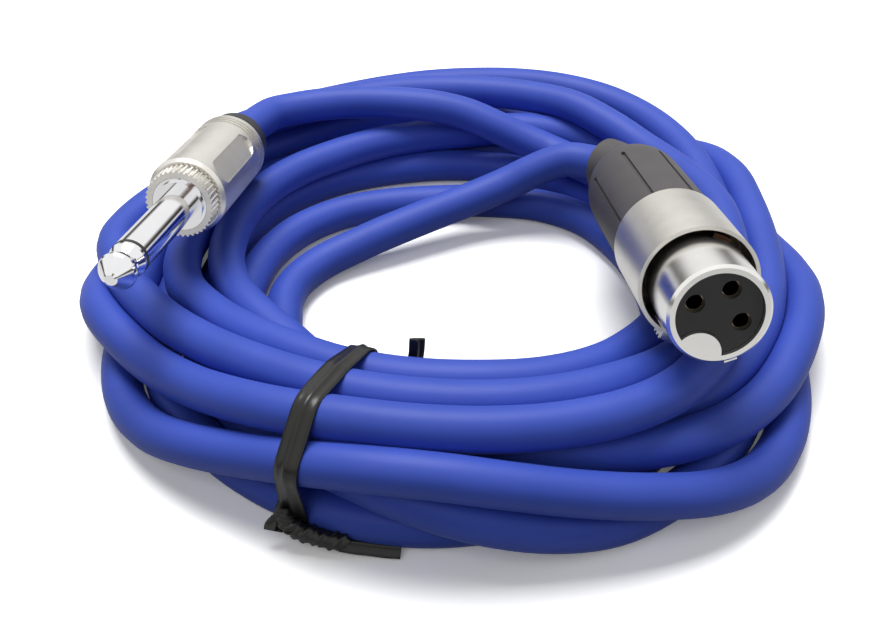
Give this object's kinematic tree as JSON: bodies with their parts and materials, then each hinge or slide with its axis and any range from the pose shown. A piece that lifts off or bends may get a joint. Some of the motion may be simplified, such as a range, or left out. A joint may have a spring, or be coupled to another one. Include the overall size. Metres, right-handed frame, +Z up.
{
  "type": "instrument cable",
  "caption": "Coiled audio instrument cable held by a twist tie, with a two-pole jack plug on one end and a round locking female connector on the other.",
  "frame": {"origin": "centre of the bounding box at floor level, inside the coil", "axes": "+Z up, square to the floor that the coil lies on; -Y towards the front of the coil, where the jack tip and the connector's nose point; +X to the right"},
  "size_m": [0.1468, 0.1468, 0.0419],
  "materials": {
    "jacket": "satin, slightly grippy",
    "tie_plastic": "satin",
    "plug_chrome": "polished",
    "satin_nickel": "satin",
    "bright_nickel": "semi-polished",
    "latch_steel": "polished",
    "tinned_steel": "plain tin",
    "gilt_contact": "polished",
    "copper": "bare stranded copper",
    "black_insulator": "fine moulded grain",
    "white_insulator": "smooth",
    "red_insulator": "smooth",
    "boot_rubber": "fine matt"
  },
  "bodies": {
    "root": {"cable_coil": "jacket", "cable_jack_lead": "jacket", "cable_xlr_lead": "jacket", "twist_tie": "tie_plastic", "jack_tip": "plug_chrome", "jack_tip_insulator": "black_insulator", "jack_sleeve": "plug_chrome", "jack_collar": "satin_nickel", "jack_rear_washer": "white_insulator", "jack_ground_lug": "tinned_steel", "jack_chuck": "tinned_steel", "jack_hot_wire": "white_insulator", "jack_cold_wire": "red_insulator", "jack_shield_pigtail": "copper", "xlr_nose": "bright_nickel", "xlr_insert": "black_insulator", "xlr_socket_1": "gilt_contact", "xlr_socket_2": "gilt_contact", "xlr_socket_3": "gilt_contact", "xlr_shell": "satin_nickel", "xlr_ground_contact": "copper", "xlr_latch_pin": "latch_steel", "xlr_chuck": "black_insulator", "xlr_strain_relief": "boot_rubber", "xlr_hot_wire": "white_insulator", "xlr_cold_wire": "red_insulator", "xlr_shield_pigtail": "copper"},
    "jack_liner_body": {"jack_liner": "white_insulator"},
    "jack_barrel_body": {"jack_barrel": "satin_nickel", "jack_boot_ring": "black_insulator"},
    "xlr_latch_body": {"xlr_latch": "latch_steel", "xlr_latch_spring": "latch_steel"},
    "xlr_gland_body": {"xlr_gland": "boot_rubber"},
    "xlr_boot_body": {"xlr_boot": "boot_rubber"}
  },
  "joints": [
    {"name": "jack_barrel_slide", "type": "slide", "parent": "root", "child": "jack_liner_body", "axis": [0.1368, 0.9737, -0.1822], "range_m": [0, 0.005]},
    {"name": "jack_barrel_unscrew", "type": "hinge", "parent": "jack_liner_body", "child": "jack_barrel_body", "pos_m": [-0.05046, 0.00367, 0.02481], "axis": [0.1368, 0.9737, -0.1822], "range_deg": [0, 1800]},
    {"name": "xlr_latch_press", "type": "hinge", "parent": "root", "child": "xlr_latch_body", "pos_m": [0.0309, -0.0318, 0.02251], "axis": [-0.9174, 0.0356, 0.3963], "range_deg": [0, 4], "stiffness_Nm_per_rad": 0.05, "springref_deg": -2.86},
    {"name": "xlr_boot_slide", "type": "slide", "parent": "root", "child": "xlr_gland_body", "axis": [-0.0595, 0.9726, -0.225], "range_m": [0, 0.002]},
    {"name": "xlr_boot_unscrew", "type": "hinge", "parent": "xlr_gland_body", "child": "xlr_boot_body", "pos_m": [0.03227, -0.00754, 0.0235], "axis": [-0.0595, 0.9726, -0.225], "range_deg": [0, 720]}
  ],
  "couplings": [
    {"joint": "jack_barrel_slide", "follows": "jack_barrel_unscrew", "m_per_rad": 0.00015915},
    {"joint": "xlr_boot_slide", "follows": "xlr_boot_unscrew", "m_per_rad": 0.00015915}
  ]
}
